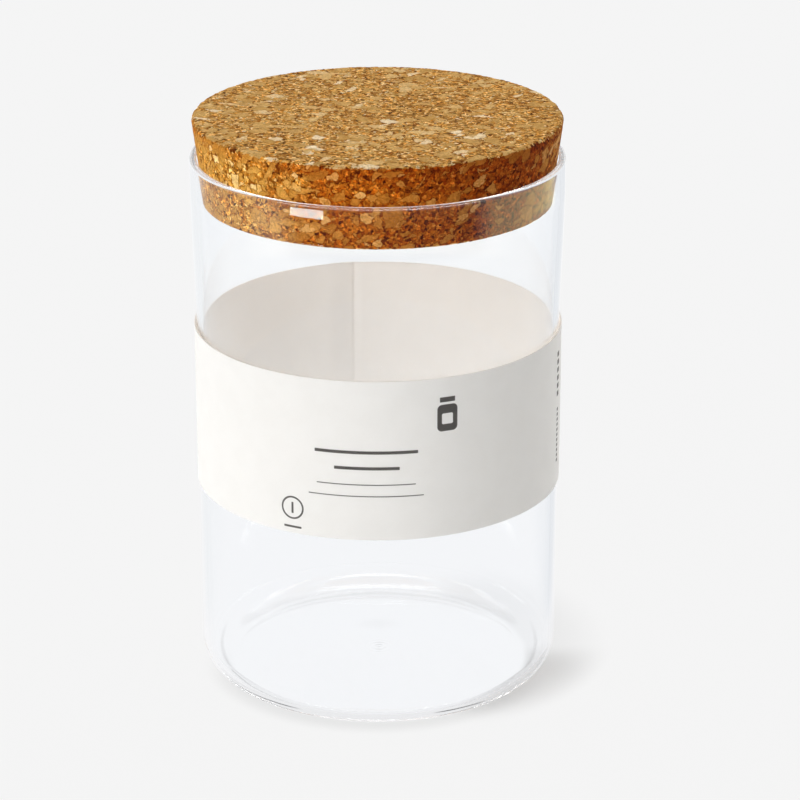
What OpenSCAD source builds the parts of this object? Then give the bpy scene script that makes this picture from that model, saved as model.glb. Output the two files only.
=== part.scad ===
// Glass storage jar with a tapered cork lid and a paper sleeve.
// Millimetres. The jar stands on z = 0 with its axis on Z, and its front faces -Y.

/* [Glass jar] */
// Height of the glass, from the table to the top of the lip
jar_h = 150; // [130:1:220]
// Outside diameter of the straight wall
body_d = 100; // [70:1:140]
// Thickness of the wall
wall_t = 1.7; // [1.2:0.1:3]
// Thickness of the base
floor_t = 1.8; // [1.4:0.1:6]
// Outside radius of the heel, where the wall turns into the base
heel_r = 9; // [4:0.5:14]
// Width of the flat ring that the jar stands on
foot_w = 7; // [3:0.5:14]
// How far the middle of the base is pushed up
punt_h = 1.2; // [0.4:0.1:1.8]
// How much wider the mouth is than the straight wall, on each side
mouth_flare = 0.95; // [0.3:0.05:2]
// Height over which the wall opens out to the mouth
flare_h = 36; // [20:1:40]
// Height of the stretch between the flare and the top of the lip
collar_h = 11; // [6:1:16]
// Thickness of the rounded lip
lip_t = 1.9; // [1.4:0.1:3]

/* [Cork lid] */
// Height of the cork
lid_h = 23; // [18:0.5:40]
// How deep the cork sits in the mouth
plug_depth = 12.3; // [6:0.1:14]
// Slope of the cork's side, in degrees from upright
lid_taper = 7.8; // [3:0.1:12]
// Gap between the cork and the lip, all round
lid_gap = 0.3; // [0.1:0.05:0.5]
// Rounding of the cork's top edge
top_edge_r = 1.2; // [0.4:0.1:3]
// Rounding of the cork's bottom edge
plug_edge_r = 1; // [0.4:0.1:3]

/* [Paper sleeve] */
// Height of the band
sleeve_h = 45; // [20:1:48]
// How far its upper edge lies below the height where the wall begins to widen
sleeve_drop = 0.6; // [0:0.1:12]
// Thickness of the card
card_t = 0.35; // [0.2:0.05:0.8]
// Gap between the band and the glass
sleeve_gap = 0.25; // [0.1:0.05:0.5]
// Width of the lap, where one end lies over the other
lap_w = 6.5; // [4:0.5:20]
// Where the middle of the lap is, in degrees round from +X
lap_angle = 102.5; // [0:0.5:360]
// Thickness of the glue in the lap
glue_t = 0.12; // [0.05:0.01:0.3]
// How far the glue stops short of each edge of the lap
glue_margin = 1; // [0.5:0.1:1.9]
// Gap between the end that lies under and the step that carries the other end over it
step_gap = 0.5; // [0.2:0.1:1]

/* [Hidden] */
$fn = 128;

// Glass, as radii and heights of its outline
body_r = body_d / 2;
bore_r = body_r - wall_t;
mouth_r = body_r + mouth_flare;
lip_r = lip_t / 2;
lip_z = jar_h - lip_r;
lip_in_r = mouth_r - lip_t;
collar_z = jar_h - collar_h;
flare_z = collar_z - flare_h;
foot_out_r = body_r - heel_r;
foot_in_r = foot_out_r - foot_w;
floor_r = heel_r - wall_t;
arc_steps = 12;
crown_steps = 8;
lip_steps = 16;

// Cork, which hangs from the lip's height and the lip's inside radius
slope = tan(lid_taper);
plug_z = jar_h - plug_depth;
lid_top_z = plug_z + lid_h;
function cork_r(z) = lip_in_r - lid_gap + (z - lip_z) * slope;

// Sleeve, from the glass outwards
sleeve_z = flare_z - sleeve_drop - sleeve_h;
band_r = body_r + sleeve_gap;
glue_r = band_r + card_t;
flap_r = glue_r + glue_t;
flap_out_r = flap_r + card_t;

// Angle that a width takes up on the band
function turn(width) = width / band_r * 180 / PI;
under_end = lap_angle - turn(lap_w) / 2;
over_end = lap_angle + turn(lap_w) / 2;

// Points along an arc about [x, z] from angle a to angle b
function arc(x, z, r, a, b, steps) = [
    for (i = [0 : steps])
        let (t = a + (b - a) * i / steps)
        [x + r * cos(t), z + r * sin(t)]
];

// Rise from 0 to 1 that starts and ends level
function ease(t) = t * t * (3 - 2 * t);

// The wall's opening from the straight wall to the collar, upwards, from radius r
function flare(r, top_r) = [
    for (i = [0 : arc_steps])
        [r + (top_r - r) * ease(i / arc_steps), flare_z + flare_h * i / arc_steps]
];

// A dome from the axis outwards, h high in its middle and level there and at its edge
function dome(r, z, h) = [
    for (i = [0 : crown_steps])
        [r * i / crown_steps, z + h * (1 - ease(i / crown_steps))]
];

// A list the other way round
function reversed(list) = [for (i = [len(list) - 1 : -1 : 0]) list[i]];

module glass_jar() {
    outside = concat(
        dome(foot_in_r, 0, punt_h),
        arc(foot_out_r, heel_r, heel_r, -90, 0, arc_steps),
        flare(body_r, mouth_r)
    );
    lip = arc(mouth_r - lip_r, lip_z, lip_r, 0, 180, lip_steps);
    inside = concat(
        dome(foot_in_r, floor_t, punt_h),
        arc(foot_out_r, floor_t + floor_r, floor_r, -90, 0, arc_steps),
        flare(bore_r, mouth_r - wall_t)
    );
    color([0.93, 0.96, 0.97, 0.35])
        rotate_extrude()
            polygon(concat(outside, lip, reversed(inside)));
}

module cork_lid() {
    // Where the slanted side meets each rounded edge
    top_x = cork_r(lid_top_z) - top_edge_r * tan(45 + lid_taper / 2);
    foot_x = cork_r(plug_z) - plug_edge_r * tan(45 - lid_taper / 2);
    color([0.76, 0.57, 0.36])
        rotate_extrude()
            polygon(concat(
                [[0, plug_z]],
                arc(foot_x, plug_z + plug_edge_r, plug_edge_r, -90, -lid_taper, arc_steps),
                arc(top_x, lid_top_z - top_edge_r, top_edge_r, -lid_taper, 90, arc_steps),
                [[0, lid_top_z]]
            ));
}

// A wall between two radii, as tall as the sleeve, from angle a round to angle b
module curved_wall(in_r, out_r, a, b) {
    translate([0, 0, sleeve_z])
        rotate([0, 0, a])
            rotate_extrude(angle = b - a)
                translate([in_r, 0])
                    square([out_r - in_r, sleeve_h]);
}

module paper_sleeve() {
    step_end = under_end + 360 - turn(step_gap);
    step_start = step_end - turn(flap_out_r - band_r);
    color([0.95, 0.94, 0.92])
        union() {
            curved_wall(band_r, glue_r, under_end, step_end);
            curved_wall(band_r, flap_out_r, step_start, step_end);
            curved_wall(flap_r, flap_out_r, step_start, over_end + 360);
        }
}

module sleeve_glue() {
    color([0.9, 0.88, 0.8])
        curved_wall(glue_r, flap_r, under_end + turn(glue_margin), over_end - turn(glue_margin));
}

glass_jar();
cork_lid();
paper_sleeve();
sleeve_glue();
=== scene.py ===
import math

import bpy
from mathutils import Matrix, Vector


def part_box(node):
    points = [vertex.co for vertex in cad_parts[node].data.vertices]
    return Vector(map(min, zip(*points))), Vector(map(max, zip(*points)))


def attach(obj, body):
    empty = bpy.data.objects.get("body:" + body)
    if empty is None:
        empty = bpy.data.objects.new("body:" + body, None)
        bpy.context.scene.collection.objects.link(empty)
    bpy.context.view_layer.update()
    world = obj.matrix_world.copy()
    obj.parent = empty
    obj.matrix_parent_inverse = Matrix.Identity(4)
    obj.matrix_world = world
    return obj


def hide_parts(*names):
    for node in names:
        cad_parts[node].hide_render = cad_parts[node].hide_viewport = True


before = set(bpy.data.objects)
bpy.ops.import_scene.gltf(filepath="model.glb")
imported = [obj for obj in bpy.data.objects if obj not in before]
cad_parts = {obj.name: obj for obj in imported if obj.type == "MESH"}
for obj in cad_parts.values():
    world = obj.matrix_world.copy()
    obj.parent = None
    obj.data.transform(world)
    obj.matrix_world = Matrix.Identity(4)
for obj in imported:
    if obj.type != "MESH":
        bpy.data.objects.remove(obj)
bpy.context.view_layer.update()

# ---------------------------------------------------------------- glass jar
# The jar is one piece of clear borosilicate glass. Its wall is drawn as a tube that opens a little
# towards the mouth, its base is pressed with a raised middle, and its lip is melted round in a flame.

MM = 0.001


class Value:
    """An output of a node, on which sums are written as plain Python."""

    def __init__(self, board, socket):
        self.board = board
        self.socket = socket

    def out(self, name):
        return Value(self.board, self.socket.node.outputs[name])

    def sum(self, operation, *numbers):
        inputs = dict(enumerate(numbers))
        return self.board.add("ShaderNodeMath", {"operation": operation}, inputs)

    def __add__(self, other):
        return self.sum("ADD", self, other)

    def __radd__(self, other):
        return self.sum("ADD", other, self)

    def __sub__(self, other):
        return self.sum("SUBTRACT", self, other)

    def __rsub__(self, other):
        return self.sum("SUBTRACT", other, self)

    def __mul__(self, other):
        return self.sum("MULTIPLY", self, other)

    def __rmul__(self, other):
        return self.sum("MULTIPLY", other, self)

    def __truediv__(self, other):
        return self.sum("DIVIDE", self, other)

    def __neg__(self):
        return self.sum("MULTIPLY", self, -1.0)

    def __abs__(self):
        return self.sum("ABSOLUTE", self)

    def least(self, other):
        return self.sum("MINIMUM", self, other)

    def most(self, other):
        return self.sum("MAXIMUM", self, other)

    def ramp(self, start, stop):
        """0 below start, 1 above stop and a soft rise between; start may be the higher one."""
        inputs = {"Value": self, "From Min": start, "From Max": stop}
        settings = {"interpolation_type": "SMOOTHSTEP"}
        return self.board.add("ShaderNodeMapRange", settings, inputs)


class Board:
    """A node tree that is built node by node."""

    def __init__(self, tree):
        self.tree = tree
        tree.nodes.clear()

    def add(self, kind, settings=None, inputs=None):
        """Makes a node, its settings first, then its sockets, and gives its first live output."""
        node = self.tree.nodes.new(kind)
        for name, setting in (settings or {}).items():
            if name == "stops":
                self.set_stops(node.color_ramp, setting)
            else:
                setattr(node, name, setting)
        for name, value in (inputs or {}).items():
            socket = node.inputs[name]
            if isinstance(value, Value):
                self.tree.links.new(value.socket, socket)
            else:
                socket.default_value = value
        live = [socket for socket in node.outputs if socket.enabled]
        return Value(self, live[0]) if live else node

    def set_stops(self, ramp, stops):
        for i, (place, colour) in enumerate(stops):
            stop = ramp.elements[i] if i < 2 else ramp.elements.new(place)
            stop.position = place
            stop.color = (*colour, 1)

    def blend(self, factor, first, second, how="MIX"):
        """Mixes two colours."""
        first, second = [c if isinstance(c, Value) else (*c, 1) for c in (first, second)]
        settings = {"data_type": "RGBA", "blend_type": how}
        return self.add("ShaderNodeMix", settings, {0: factor, 6: first, 7: second})

    def vector(self, operation, first, second=None, scale=None):
        inputs = {0: first}
        if second is not None:
            inputs[1] = second
        if scale is not None:
            inputs["Scale"] = scale
        return self.add("ShaderNodeVectorMath", {"operation": operation}, inputs)


def new_finish(name):
    material = bpy.data.materials.new(name)
    material.use_nodes = True
    return material, Board(material.node_tree)


def ease(t):
    """Rises from 0 to 1 and is level at both ends."""
    return t * t * (3 - 2 * t)


def steps(count):
    return [i / count for i in range(count + 1)]


def arc(x, z, r, start, stop, count):
    """Points on an arc about (x, z), from one angle in degrees to another."""
    turn = [math.radians(start + (stop - start) * t) for t in steps(count)]
    return [(x + r * math.cos(a), z + r * math.sin(a)) for a in turn]


def mesh_piece(name, corners, faces, material, sharp=None):
    """A smooth-shaded mesh object whose edges past an angle in degrees stay sharp."""
    mesh = bpy.data.meshes.new(name)
    mesh.from_pydata(corners, [], faces)
    mesh.materials.append(material)
    mesh.polygons.foreach_set("use_smooth", [True] * len(faces))
    if sharp:
        mesh.set_sharp_from_angle(angle=math.radians(sharp))
    mesh.update()
    piece = bpy.data.objects.new(name, mesh)
    bpy.context.scene.collection.objects.link(piece)
    return piece


def turned(outline, around):
    """Corners and faces of an outline turned about Z. It starts and ends on the axis."""
    corners = [(0, 0, outline[0][1])]
    for r, z in outline[1:-1]:
        for i in range(around):
            a = math.tau * i / around
            corners.append((r * math.cos(a), r * math.sin(a), z))
    corners.append((0, 0, outline[-1][1]))
    rings = [range(1 + k * around, 1 + (k + 1) * around) for k in range(len(outline) - 2)]
    faces = []
    for i in range(around):
        j = (i + 1) % around
        faces.append((0, rings[0][j], rings[0][i]))
        for low, high in zip(rings, rings[1:]):
            faces.append((low[i], low[j], high[j], high[i]))
        faces.append((rings[-1][i], rings[-1][j], len(corners) - 1))
    return corners, faces


jar_low, jar_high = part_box("glass_jar")
jar_h = jar_high.z
mouth_r = min(jar_high.x, jar_high.y, -jar_low.x, -jar_low.y)
body_r = mouth_r - 0.95 * MM
wall_t = 1.7 * MM
base_t = 1.8 * MM
heel_r = 9 * MM
inner_heel_r = heel_r - wall_t
foot_w = 7 * MM
punt_h = 1.2 * MM
ripple_h = 0.03 * MM
ripple_r = 6 * MM
lip_r = 0.95 * MM
collar_z = jar_h - 11 * MM
flare_z = collar_z - 36 * MM
foot_r = body_r - heel_r
punt_r = foot_r - foot_w


def straight(start, stop):
    """Two points just inside the ends of a stretch, which keep its shading flat."""
    share = 0.12 * MM / math.dist(start, stop)
    return [tuple(a + (b - a) * t for a, b in zip(start, stop)) for t in (share, 1 - share)]


def base(z, ripple):
    """A face of the raised base from the axis outwards, with the rings that spinning leaves."""
    radii = [ripple_r * t for t in steps(20)]
    radii += [ripple_r + (punt_r - ripple_r) * t for t in steps(12)[1:]]
    wave = [math.cos(r / MM * 4) * max(0, 1 - r / ripple_r) for r in radii]
    line = [(r, z + punt_h * (1 - ease(r / punt_r)) + ripple * w) for r, w in zip(radii, wave)]
    return line + straight((punt_r, z), (foot_r, z))


def wall(r, top_r, low_z, lip_end):
    """The straight wall, then the flare, then the collar, upwards to the lip."""
    flare = [(r + (top_r - r) * ease(t), flare_z + (collar_z - flare_z) * t) for t in steps(20)]
    return straight((r, low_z), flare[0]) + flare + straight(flare[-1], lip_end)


lip = arc(mouth_r - lip_r, jar_h - lip_r, lip_r, 0, 180, 32)
outside = base(0, 0) + arc(foot_r, heel_r, heel_r, -90, 0, 24)
outside += wall(body_r, mouth_r, heel_r, lip[0])
inside = base(base_t, ripple_h)
inside += arc(foot_r, base_t + inner_heel_r, inner_heel_r, -90, 0, 24)
inside += wall(body_r - wall_t, mouth_r - wall_t, base_t + inner_heel_r, lip[-1])

glass, board = new_finish("clear_glass")
body = board.add("ShaderNodeBsdfPrincipled", None, {
    "Base Color": (0.985, 0.993, 1, 1), "Roughness": 0, "IOR": 1.47, "Transmission Weight": 1})
rays = board.add("ShaderNodeLightPath")
for kind, tone in (("Is Diffuse Ray", (1, 1, 1, 1)), ("Is Shadow Ray", (0.975, 0.98, 0.985, 1))):
    clear = board.add("ShaderNodeBsdfTransparent", None, {"Color": tone})
    body = board.add("ShaderNodeMixShader", None, {0: rays.out(kind), 1: body, 2: clear})
board.add("ShaderNodeOutputMaterial", None, {"Surface": body})

corners, faces = turned(outside + lip + inside[::-1], 480)
jar = mesh_piece("glass_jar_visual", corners, faces, glass)
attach(jar, "jar")
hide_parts("glass_jar")

# --------------------------------------------------------------- paper sleeve
# A band of uncoated off-white card, cut from the sheet and wrapped round the jar by hand. Its ends
# lap at the back, where the outer end rides up over the inner one and is glued to it.

sleeve_low, sleeve_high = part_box("paper_sleeve")
sleeve_h = sleeve_high.z - sleeve_low.z
card_t = 0.35 * MM
band_r = 50.25 * MM
lap_mid = 102.5
lap_w = 6.5 * MM
rise = card_t + 0.12 * MM
rise_w = 3.2 * MM
rise_gap = 0.15 * MM


def degrees_of(width):
    return math.degrees(width / band_r)


def unevenness(angle, t):
    """How far the hand-wrapped card stands off its round, at an angle and a share of its height."""
    a = math.radians(angle)
    slow = math.sin(3 * a + 0.7) + 0.6 * math.sin(5 * a + 2.1 + 1.3 * t)
    return 0.03 * MM * (slow + 0.5 * math.sin(9 * a + 4 * t))


under_end = lap_mid - degrees_of(lap_w) / 2
over_end = lap_mid + degrees_of(lap_w) / 2 + 360
rise_stop = under_end + 360 - degrees_of(rise_gap)
rise_start = rise_stop - degrees_of(rise_w)
stations = [under_end + (rise_start - under_end) * t for t in steps(480)]
stations += [rise_start + (rise_stop - rise_start) * t for t in steps(12)[1:]]
stations += [rise_stop + (over_end - rise_stop) * t for t in steps(12)[1:]]
rows = 18
corners = []
places = []
for angle in stations:
    a = math.radians(angle)
    lift = rise * ease(min(1, max(0, (angle - rise_start) / (rise_stop - rise_start))))
    front = (angle - 270) / 360 * math.tau * band_r
    for side, heights in ((0, steps(rows)), (1, steps(rows)[::-1])):
        for t in heights:
            r = band_r + lift + unevenness(angle, t) + side * card_t
            z = sleeve_low.z + sleeve_h * t
            corners.append((r * math.cos(a), r * math.sin(a), z))
            places.append((front, sleeve_h * t, side))
loop = 2 * (rows + 1)
faces = []
for k in range(len(stations) - 1):
    for i in range(loop):
        j = (i + 1) % loop
        near, far = k * loop, (k + 1) * loop
        faces.append((near + i, near + j, far + j, far + i))
for t in range(rows):
    near, far = 0, (len(stations) - 1) * loop
    faces.append((near + t, near + loop - 1 - t, near + loop - 2 - t, near + t + 1))
    faces.append((far + t + 1, far + loop - 2 - t, far + loop - 1 - t, far + t))

card, board = new_finish("sleeve_card")
coords = board.add("ShaderNodeTexCoord").out("Object")
grain = board.add("ShaderNodeTexNoise", None, {
    "Vector": coords, "Scale": 2600, "Detail": 3, "Roughness": 0.6})
cloud = board.add("ShaderNodeTexNoise", None, {"Vector": coords, "Scale": 160, "Detail": 4})
place = board.add("ShaderNodeAttribute", {"attribute_name": "place"})
spot = board.add("ShaderNodeSeparateXYZ", None, {0: place.out("Vector")})
across, height, outer = (spot.out(name) / unit for name, unit in (("X", MM), ("Y", MM), ("Z", 1)))
INK_EDGE = 0.07


def printed(left, low, right, high, corner=0.15):
    """A printed rectangle with rounded corners, in mm round from the front and up from the edge."""
    x = (abs(across - (left + right) / 2) - ((right - left) / 2 - corner)).most(0)
    y = (abs(height - (low + high) / 2) - ((high - low) / 2 - corner)).most(0)
    return ((x * x + y * y).sum("SQRT", x * x + y * y) - corner).ramp(INK_EDGE, -INK_EDGE)


def disc(x, y, r):
    return printed(x - r, y - r, x + r, y + r, r)


ink = printed(15.7, 30.0, 21.4, 37.5, 1.3) - printed(17.0, 32.0, 20.1, 35.0, 0.4)
ink = ink + disc(-23.7, 7.3, 3.3) - disc(-23.7, 7.3, 2.8)
marks = [(16.4, 38.2, 20.7, 39.6), (-26.3, 1.5, -21.1, 2.1), (-24.0, 5.7, -23.4, 8.9), (-17.1, 24.6, 10.5, 25.5),
         (-11.8, 20.1, 5.6, 21.0), (-16.6, 15.7, 9.9, 16.0), (-18.9, 12.4, 12.1, 12.7)]
marks += [(66.2, 26.5 + 2.3 * k, 68.4, 27.9 + 2.3 * k) for k in range(6)]
marks += [(66.6, 7.0 + 1.5 * k, 68.2, 7.9 + 1.5 * k) for k in range(11)]
for mark in marks:
    ink = ink + printed(*mark)
ink = ink * outer.ramp(0.9, 1)
paper = board.blend(outer.ramp(0.02, 0.2), (0.952, 0.916, 0.874), (0.938, 0.938, 0.922))
paper = board.blend(cloud.ramp(0.65, 0.35) * 0.06, paper, (0.72, 0.7, 0.66))
paper = board.blend(grain.ramp(0.3, 0.75) * 0.05, paper, (0.7, 0.68, 0.64))
colour = board.blend(ink * 0.97, paper, (0.012, 0.011, 0.011))
dent = board.add("ShaderNodeBump", None, {
    "Strength": 0.25, "Distance": 0.06 * MM, "Height": grain * 0.6 + cloud * 0.8})
body = board.add("ShaderNodeBsdfPrincipled", None, {
    "Base Color": colour, "Roughness": 0.8, "Specular IOR Level": 0.3, "Normal": dent})
glow = board.add("ShaderNodeBsdfTranslucent", None, {"Color": (0.94, 0.925, 0.9, 1), "Normal": dent})
mixed = board.add("ShaderNodeMixShader", None, {0: 0.15, 1: body, 2: glow})
board.add("ShaderNodeOutputMaterial", None, {"Surface": mixed})

sleeve = mesh_piece("paper_sleeve_visual", corners, faces, card, sharp=40)
wrap = sleeve.data.attributes.new("place", "FLOAT_VECTOR", "POINT")
wrap.data.foreach_set("vector", [number for corner in places for number in corner])
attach(sleeve, "sleeve")
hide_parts("paper_sleeve")

# ---------------------------------------------------------------- sleeve glue
# The strip of paper glue in the lap has dried clear and slightly yellow. Only its two narrow ends
# can be seen, between the layers of card.

glue, board = new_finish("glue")
coords = board.add("ShaderNodeTexCoord").out("Object")
bubbles = board.add("ShaderNodeTexNoise", None, {"Vector": coords, "Scale": 1500, "Detail": 2})
colour = board.blend(bubbles.ramp(0.35, 0.7), (0.66, 0.6, 0.44), (0.78, 0.74, 0.62))
body = board.add("ShaderNodeBsdfPrincipled", None, {
    "Base Color": colour, "Roughness": bubbles * 0.3 + 0.25, "IOR": 1.48})
board.add("ShaderNodeOutputMaterial", None, {"Surface": body})
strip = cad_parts["sleeve_glue"]
strip.data.materials.clear()
strip.data.materials.append(glue)

# ------------------------------------------------------------------- cork lid
# The stopper is agglomerated cork: bark ground to granules of several sizes, pressed with a binder,
# then turned to a taper and sanded, which tears out crumbs and leaves a fine relief.

lid_low, lid_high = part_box("cork_lid")
lid_r = lid_high.x
taper = 7.8
slope = math.tan(math.radians(taper))
lid_edge_r = 0.9 * MM
disc_rings = 100
side_rows = 36


def cork_r(z):
    return 48.75 * MM + (z - 149.05 * MM) * slope


def granules(board, point, size, turn=None, stretch=(1, 1, 1)):
    """Granules about size mm across: three random numbers in each, and the depth in from its edge."""
    if turn:
        point = board.add("ShaderNodeVectorRotate", {"rotation_type": "EULER_XYZ"},
                          {"Vector": point, "Rotation": turn})
    point = board.vector("MULTIPLY", point, stretch)
    inputs = {"Vector": point, "Scale": 1 / size}
    cells = board.add("ShaderNodeTexVoronoi", None, inputs)
    edges = board.add("ShaderNodeTexVoronoi", {"feature": "DISTANCE_TO_EDGE"}, inputs)
    drawn = board.add("ShaderNodeSeparateXYZ", None, {0: cells.out("Color")})
    return drawn.out("X"), drawn.out("Y"), drawn.out("Z"), edges * size


def cork_grain(board, coords):
    """What colour and relief share: crumbs, granules, flat flakes and torn-out specks."""
    point = board.vector("SCALE", coords, scale=1 / MM)
    bend = board.add("ShaderNodeTexNoise", None, {"Vector": point, "Scale": 0.6, "Detail": 5})
    push = board.vector("SUBTRACT", bend.out("Color"), (0.5, 0.5, 0.5))
    point = board.vector("ADD", point, board.vector("SCALE", push, scale=1.5))
    return {
        "point": point,
        "crumb": granules(board, point, 0.8),
        "dust": granules(board, point, 0.42),
        "grain": granules(board, point, 1.7),
        "chip": granules(board, point, 4.4),
        "flake": granules(board, point, 2.6, (0.3, 0.2, 0.5), (0.42, 1, 1.2)),
        "sliver": granules(board, point, 2.4, (-0.2, 0.4, 2.2), (0.4, 1, 1.1)),
        "specks": board.add("ShaderNodeTexNoise", None, {
            "Vector": point, "Scale": 1.5, "Detail": 3, "Roughness": 0.7}),
    }


def pieces_of(board, grain, thinning):
    """Where the larger pieces of bark are: a mask, their outline and a random shade, for each kind."""
    for name, share, inset in (("chip", 0.80, 0.8), ("flake", 0.83, 0.35), ("sliver", 0.85, 0.3)):
        pick, shade, third, depth = grain[name]
        inside = depth - third * inset - (grain["dust"][1] - 0.5) * 0.22
        there = (pick - (thinning * 0.2 + share - 0.2)).ramp(0, 0.004)
        yield there * inside.ramp(0, 0.1), there * abs(inside - 0.02).ramp(0.14, 0.03), shade


cork, board = new_finish("cork")
coords = board.add("ShaderNodeTexCoord").out("Object")
grain = cork_grain(board, coords)
spot = board.add("ShaderNodeSeparateXYZ", None, {0: coords})
drift = board.add("ShaderNodeTexNoise", None, {"Vector": coords, "Scale": 130, "Detail": 3})
across = spot.out("X") / lid_r + (drift - 0.5) * 0.5
normal = board.add("ShaderNodeNewGeometry").out("Normal")
tilt = abs(board.add("ShaderNodeSeparateXYZ", None, {0: normal}).out("Z"))
side = (tilt + (grain["crumb"][0] - 0.5) * 0.4).ramp(0.75, 0.5)

pick, shade, third, depth = grain["crumb"]
colour = board.add("ShaderNodeValToRGB", {"stops": [
    (0, (0.075, 0.022, 0.002)), (0.2, (0.27, 0.10, 0.012)), (0.45, (0.46, 0.22, 0.04)),
    (0.7, (0.62, 0.35, 0.09)), (0.9, (0.78, 0.51, 0.19)), (1, (0.92, 0.70, 0.36))]}, {0: pick})
warm = board.blend(shade, (1.16, 0.92, 0.55), (0.9, 1.04, 1.3))
colour = board.blend(1.0, colour, warm, "MULTIPLY")
pick, shade, third, depth = grain["grain"]
tone = board.add("ShaderNodeValToRGB", {"stops": [
    (0, (0.36, 0.15, 0.025)), (0.5, (0.54, 0.28, 0.07)), (1, (0.70, 0.43, 0.14))]}, {0: shade})
colour = board.blend(pick.ramp(0.62, 0.64) * (depth - third * 0.2).ramp(0.0, 0.08) * 0.65, colour, tone)
streaks = board.add("ShaderNodeTexNoise", None, {
    "Vector": board.vector("MULTIPLY", grain["point"], (0.6, 4, 3)), "Scale": 1.2, "Detail": 3})
pale = 0.0
# On the side the pale chips are set more closely towards the left: part of the painted light on that side.
for mask, outline, shade in pieces_of(board, grain, (across * side + 1).least(1)):
    tone = board.add("ShaderNodeValToRGB", {"stops": [
        (0, (0.52, 0.29, 0.075)), (0.6, (0.64, 0.39, 0.13)), (0.85, (0.74, 0.50, 0.21)),
        (0.93, (0.86, 0.67, 0.40)), (1, (0.93, 0.79, 0.56))]}, {0: shade + (streaks - 0.5) * 0.45})
    colour = board.blend(mask * 0.82, colour, tone)
    colour = board.blend(outline * (side * 0.5 + 0.15), colour, (0.2, 0.065, 0.008))
    pale = mask.most(pale)
hole = grain["specks"].ramp(0.40, 0.32) * (1 - pale * 0.8)
colour = board.blend(hole * 0.85, colour, (0.10, 0.03, 0.004))
dust = board.blend(grain["dust"][0], (0.54, 0.47, 0.36), (1.42, 1.46, 1.52))
colour = board.blend(1 - pale * 0.55, colour, board.blend(1.0, colour, dust, "MULTIPLY"))

# Painted light and shade on the side: it is painted golden on the left, where the key light falls, dark brown
# towards the right, where it lies in shade, and lighter again at the far right edge as a painted rim of back
# light. Pale chips take less of it. A band just under the top edge is painted darker and browner. The top is
# left as it is.
side_light_paint = board.blend(across.ramp(-0.65, -0.25), (1.16, 1.0, 0.62), (0.82, 0.40, 0.10))
side_light_paint = board.blend(across.ramp(-0.1, 0.6), side_light_paint, (0.52, 0.20, 0.06))
side_light_paint = board.blend(across.ramp(0.8, 1.0), side_light_paint, (0.76, 0.5, 0.27))
side_light_paint = board.blend(pale * 0.3, side_light_paint, (1.05, 0.9, 0.55))
below_edge = (spot.out("Z") - lid_high.z + drift * 3 * MM).ramp(-3.5 * MM, 0.5 * MM)
side_light_paint = board.blend(below_edge * 0.75, side_light_paint, board.blend(1.0, side_light_paint, (0.84, 0.66, 0.45), "MULTIPLY"))
colour = board.blend(side, colour, board.blend(1.0, colour, side_light_paint, "MULTIPLY"))
dent = board.add("ShaderNodeBump", None, {
    "Strength": 0.8, "Distance": 0.15 * MM,
    "Height": grain["crumb"][1] * 0.4 + grain["dust"][2] * 0.4 - hole * 1.2})
body = board.add("ShaderNodeBsdfPrincipled", None, {
    "Base Color": colour, "Roughness": 0.85, "Specular IOR Level": 0.06, "Normal": dent})
board.add("ShaderNodeOutputMaterial", None, {"Surface": body})


def relief_tree():
    """Moves the surface inwards: crumbs at random depths, torn-out specks and a chipped top edge."""
    tree = bpy.data.node_groups.new("cork_relief", "GeometryNodeTree")
    board = Board(tree)
    for name, kind in (("Cork", "NodeSocketGeometry"), ("Crumb Depth", "NodeSocketFloat"),
                       ("Hole Depth", "NodeSocketFloat"), ("Edge Wear", "NodeSocketFloat"),
                       ("Top", "NodeSocketFloat"), ("Top Radius", "NodeSocketFloat"),
                       ("Finish", "NodeSocketMaterial")):
        tree.interface.new_socket(name, in_out="INPUT", socket_type=kind)
    tree.interface.new_socket("Cork", in_out="OUTPUT", socket_type="NodeSocketGeometry")
    given = board.add("NodeGroupInput")
    coords = board.add("GeometryNodeInputPosition")
    grain = cork_grain(board, coords)
    pick, shade, third, depth = grain["crumb"]
    pale = 0.0
    for mask, outline, shade in pieces_of(board, grain, 1.0):
        pale = mask.most(pale)
    rough = pick * 0.7 + (1 - depth.ramp(0, 0.12)) * 0.3
    sunk = rough * (1 - pale * 0.7) * given.out("Crumb Depth")
    sunk = sunk + grain["specks"].ramp(0.40, 0.30) * (1 - pale * 0.8) * given.out("Hole Depth")
    spot = board.add("ShaderNodeSeparateXYZ", None, {0: coords})
    x, y, z = (spot.out(axis) for axis in "XYZ")
    out = (x * x + y * y).sum("SQRT", x * x + y * y)
    edge = (given.out("Top Radius") - out).ramp(1.3 * MM, 0) * (given.out("Top") - z).ramp(1.5 * MM, 0)
    lost = grain["grain"][0].ramp(0.45, 0.9) * 0.7 + pick * 0.3
    sunk = sunk + edge * lost * given.out("Edge Wear")
    move = board.vector("SCALE", board.add("GeometryNodeInputNormal"), scale=-sunk)
    shape = board.add("GeometryNodeSetPosition", None, {"Geometry": given.out("Cork"), "Offset": move})
    shape = board.add("GeometryNodeRealizeInstances", None, {"Geometry": shape})
    shape = board.add("GeometryNodeSetMaterial", None, {
        "Geometry": shape, "Material": given.out("Finish")})
    board.add("NodeGroupOutput", None, {"Cork": shape})
    return tree


def ring_of(r, z, count):
    turn = [math.tau * i / count for i in range(count)]
    return [(r * math.cos(a), r * math.sin(a), z) for a in turn]


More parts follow.
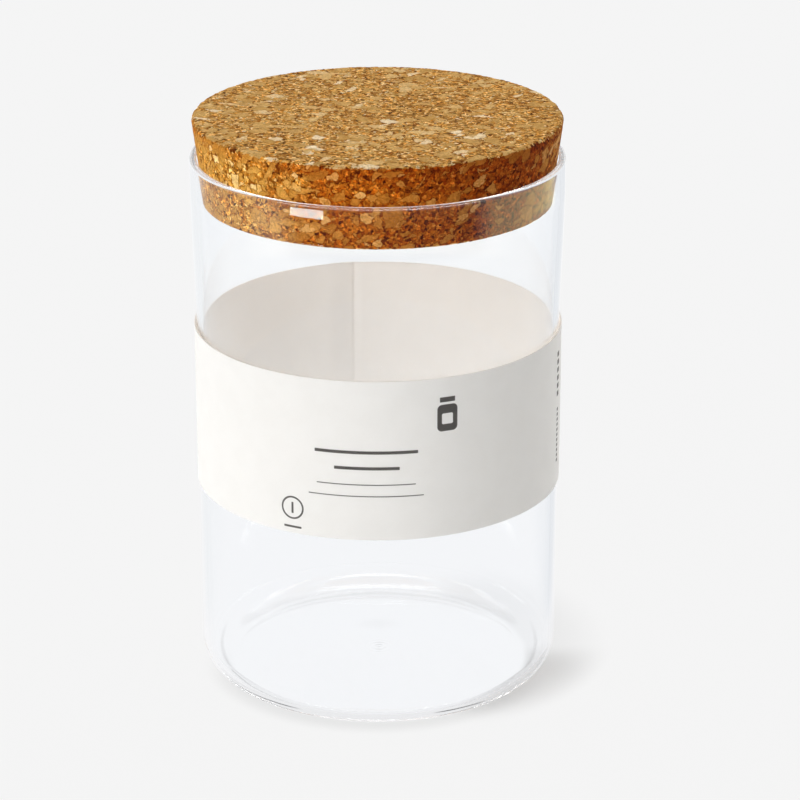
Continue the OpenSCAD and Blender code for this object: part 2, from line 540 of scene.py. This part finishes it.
foot_x = cork_r(lid_low.z) - lid_edge_r * math.tan(math.radians(45 - taper / 2))
top_x = cork_r(lid_high.z) - lid_edge_r * math.tan(math.radians(45 + taper / 2))
low_edge = arc(foot_x, lid_low.z + lid_edge_r, lid_edge_r, -90, -taper, 5)
high_edge = arc(top_x, lid_high.z - lid_edge_r, lid_edge_r, -taper, 90, 5)
start, stop = low_edge[-1], high_edge[0]
side_line = [(start[0] + (stop[0] - start[0]) * t, start[1] + (stop[1] - start[1]) * t)
             for t in steps(side_rows)[1:-1]]
outline = low_edge + side_line + high_edge
around = 6 * disc_rings
corners = []
faces = []


def disc_faces(first, flip):
    """Joins rings of 6, 12, 18 ... corners round a middle corner, which comes first."""
    inner = [first]
    begin = first + 1
    for k in range(1, disc_rings + 1):
        outer = list(range(begin, begin + 6 * k))
        begin += 6 * k
        for sector in range(6):
            for i in range(k):
                a = outer[sector * k + i]
                b = outer[(sector * k + i + 1) % len(outer)]
                c = inner[(sector * (k - 1) + i) % len(inner)]
                faces.append((c, b, a) if flip else (c, a, b))
                if i < k - 1:
                    d = inner[(sector * (k - 1) + i + 1) % len(inner)]
                    faces.append((c, d, b) if flip else (c, b, d))
        inner = outer
    return inner


corners.append((0, 0, lid_low.z))
for k in range(1, disc_rings + 1):
    corners += ring_of(outline[0][0] * k / disc_rings, lid_low.z, 6 * k)
edge = disc_faces(0, True)
for r, z in outline[1:]:
    first = len(corners)
    corners += ring_of(r, z, around)
    upper = list(range(first, first + around))
    faces += [(edge[i], edge[(i + 1) % around], upper[(i + 1) % around], upper[i])
              for i in range(around)]
    edge = upper
first = len(corners)
corners.append((0, 0, lid_high.z))
for k in range(1, disc_rings):
    corners += ring_of(outline[-1][0] * k / disc_rings, lid_high.z, 6 * k)
rim = list(range(len(corners), len(corners) + around))
disc_faces(first, False)
swap = dict(zip(rim, edge))
faces = [tuple(swap.get(c, c) for c in face) for face in faces]

lid = mesh_piece("cork_lid_visual", corners, faces, cork)
relief = lid.modifiers.new("relief", "NODES")
relief.node_group = relief_tree()
wanted = {"Crumb Depth": 0.12 * MM, "Hole Depth": 0.25 * MM, "Edge Wear": 0.45 * MM,
          "Top": lid_high.z, "Top Radius": cork_r(lid_high.z), "Finish": cork}
for item in relief.node_group.interface.items_tree:
    if item.name in wanted:
        relief[item.identifier] = wanted[item.name]
worn = lid.evaluated_get(bpy.context.evaluated_depsgraph_get())
smooth = lid.data
lid.data = bpy.data.meshes.new_from_object(worn)
lid.data.name = lid.name
lid.modifiers.clear()
bpy.data.meshes.remove(smooth)
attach(lid, "lid")
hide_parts("cork_lid")

# --------------------------------------------------------------------- studio
# A pale light table runs on into a backdrop of the same colour. Three soft boxes stand round the jar,
# the nearest to the left in front, and a fourth hangs over it. The table before the jar is in shade.

PALE = (0.913, 0.913, 0.913)
THROUGH_GLASS = (0.965, 0.972, 0.982)
DIM = (0.06, 0.063, 0.068)


def towards(board, point, degrees, spread=45, soft=45):
    """1 towards an angle round from the front, counted to the right, and 0 from spread degrees off."""
    level_way = board.vector("NORMALIZE", board.vector("MULTIPLY", point, (1, 1, 0)))
    a = math.radians(degrees)
    way = (math.sin(a), -math.cos(a), 0)
    near = board.vector("DOT_PRODUCT", level_way, way).out("Value")
    return near.ramp(math.cos(math.radians(spread)), math.cos(math.radians(spread - soft)))


def surroundings(board, seen_through, mirrored):
    """What the camera sees, or clear glass and reflections: two lists of masks and their colours."""
    rays = board.add("ShaderNodeLightPath")
    clear = rays.out("Is Transmission Ray") * (1 - rays.out("Is Diffuse Ray"))
    indirect = clear.most(rays.out("Is Glossy Ray"))
    bounced = rays.out("Glossy Depth").ramp(0, 1)
    colour = THROUGH_GLASS
    for mask, tone in seen_through + [(mask * bounced, tone) for mask, tone in mirrored]:
        colour = board.blend(mask, colour, tone)
    return board.blend(indirect, PALE, colour), rays.out("Is Camera Ray").most(indirect)


floor_finish, board = new_finish("floor")
coords = board.add("ShaderNodeTexCoord").out("Object")
away = board.vector("LENGTH", coords).out("Value")
# Patches seen only in reflections: painted shade on the table in front of the jar, a narrow strip painted
# glowing that the glass mirrors as a highlight under its lip, and a band painted with a warm glow to the right
# and with shade to the left.
shade = away.ramp(0.40, 0.44) * away.ramp(0.72, 0.60) * towards(board, coords, 5, 70, 22)
glow_strip = away.ramp(0.5095, 0.5105) * away.ramp(0.5230, 0.5215) * towards(board, coords, -41.6, 10.5, 0.8)
# A thin ring of painted shadow lies under the heel at two stretches of the front, not seen by the camera
# directly.
ring = away.ramp(0.0449, 0.0452) * away.ramp(0.0459, 0.0456)
ring = ring * (towards(board, coords, -52, 24, 8) + towards(board, coords, 31, 12, 6))
right_hand = board.vector("DOT_PRODUCT", coords, (1, -0.2, 0)).out("Value")
left_hand = board.vector("DOT_PRODUCT", coords, (-1, -0.2, 0)).out("Value")
band = away.ramp(0.55, 0.565) * away.ramp(0.67, 0.65)
patch = away.ramp(0.36, 0.375) * away.ramp(0.45, 0.43) * towards(board, coords, 180, 11, 5)
behind = towards(board, coords, 180, 85, 20)
# Seen only through the glass and in reflections, the floor is painted a little darker near the jar, lighter in a
# patch behind it (painted light), and darker behind to the right and to the left (painted shade).
colour, seen = surroundings(board, [
    (away.ramp(0.25, 0.08), (0.935, 0.933, 0.942)),
    (patch, (1.03, 1.025, 1.02)),
    (behind * right_hand.ramp(0.048, 0.072), (0.80, 0.82, 0.85)),
    (behind * left_hand.ramp(0.048, 0.072), (0.88, 0.895, 0.91)),
    (ring, DIM)], [
    (band * towards(board, coords, 100, 38, 12), (2.0, 1.85, 0.8)),
    (band * towards(board, coords, -105, 32, 14), DIM),
    (shade, DIM), (glow_strip, (14, 16.5, 16.3))])
shaded = board.add("ShaderNodeBsdfDiffuse", None, {"Color": (*PALE, 1)})
# Painted shadow: the floor's colour is darkened round the base, most towards the right and a little all round
# its edge. The same mask lets more of the shaded floor through, whose shadow is real.
shifted = board.vector("LENGTH", board.vector("SUBTRACT", coords, (0.007, 0.012, 0))).out("Value")
fall = away.ramp(0.041, 0.044) * shifted.ramp(0.062, 0.042)
contact = fall * towards(board, coords, 62, 36, 36)
edge = away.ramp(0.041, 0.044) * away.ramp(0.0515, 0.0445) * towards(board, coords, -5, 95, 40)
edge = edge * 0.12 + fall * towards(board, coords, 115, 50, 30) * 0.09
colour = board.blend(contact * 0.41 + edge, colour, (0, 0, 0))
plain = board.add("ShaderNodeEmission", None, {"Color": colour})
mixed = board.add("ShaderNodeMixShader", None, {0: seen * (0.98 - contact * 0.5), 1: shaded, 2: plain})
under = away.ramp(0.050, 0.044) * (1 - seen)
table_lamp = board.add("ShaderNodeEmission", None, {
    "Color": board.blend(under, (0, 0, 0), (1.75, 1.75, 1.75))})
mixed = board.add("ShaderNodeAddShader", None, {0: mixed, 1: table_lamp})
board.add("ShaderNodeOutputMaterial", None, {"Surface": mixed})
floor_finish.cycles.emission_sampling = "NONE"
half = 4.0
sink = -0.1 * MM
corners = [(x * half, y * half, sink) for x, y in ((-1, -1), (1, -1), (1, 1), (-1, 1))]
floor = mesh_piece("floor", corners, [(0, 1, 2, 3)], floor_finish)

world = bpy.data.worlds.new("studio")
bpy.context.scene.world = world
world.use_nodes = True
board = Board(world.node_tree)
direction = board.add("ShaderNodeTexCoord").out("Generated")
height = board.add("ShaderNodeSeparateXYZ", None, {0: direction}).out("Z")
high = height.ramp(0.2, 0.35) * height.ramp(0.75, 0.6)
low = height.ramp(0.35, 0.2)
left, front, back_right, back_left = (
    towards(board, direction, a) for a in (-45, -16, 135, -135))
level = left * (high * 3.0 + low * 1.85) + front * low * 1.48
level = level + back_right * high * 4.4 + back_left * high * 3.8 + 0.02
level = level + height.ramp(0.6, 0.75) * 0.24
over = height.ramp(0.92, 0.95)
wide = towards(board, direction, 0, 75, 10) * height.ramp(0.56, 0.59) * height.ramp(0.76, 0.73)
cards = height.ramp(0.19, 0.22) * height.ramp(0.33, 0.29) + height.ramp(0.56, 0.62) * height.ramp(0.88, 0.83)
cards = cards * towards(board, direction, 180, 50, 25)
box = towards(board, direction, -45, 24, 3) * height.ramp(0.54, 0.57) * height.ramp(0.74, 0.71)
colour, seen = surroundings(board, [], [
    (cards, DIM), (wide, (15, 15, 15)), (over, (6, 6, 6)), (box, (12, 12, 12))])
backdrop = board.add("ShaderNodeBackground", None, {"Color": colour, "Strength": 1})
fill = board.add("ShaderNodeBackground", None, {"Color": (1, 0.995, 0.99, 1), "Strength": level})
mixed = board.add("ShaderNodeMixShader", None, {0: seen, 1: fill, 2: backdrop})
board.add("ShaderNodeOutputWorld", None, {"Surface": mixed})

# --------------------------------------------------------------------- camera
# A long lens from the front, looking down at the jar.

lens = bpy.data.cameras.new("camera")
lens.lens = 148.09
lens.sensor_width = 36
lens.clip_end = 20
camera = bpy.data.objects.new("camera", lens)
bpy.context.scene.collection.objects.link(camera)
camera.location = (0, -0.8574, 0.4034)
camera.rotation_euler = (math.radians(69.23), 0, math.radians(-0.4045))
bpy.context.scene.camera = camera
bpy.context.scene.view_settings.view_transform = "Standard"
for kind in ("max", "transmission", "glossy"):
    setattr(bpy.context.scene.cycles, kind + "_bounces", 1000)
bpy.context.scene.cycles.diffuse_bounces = 10
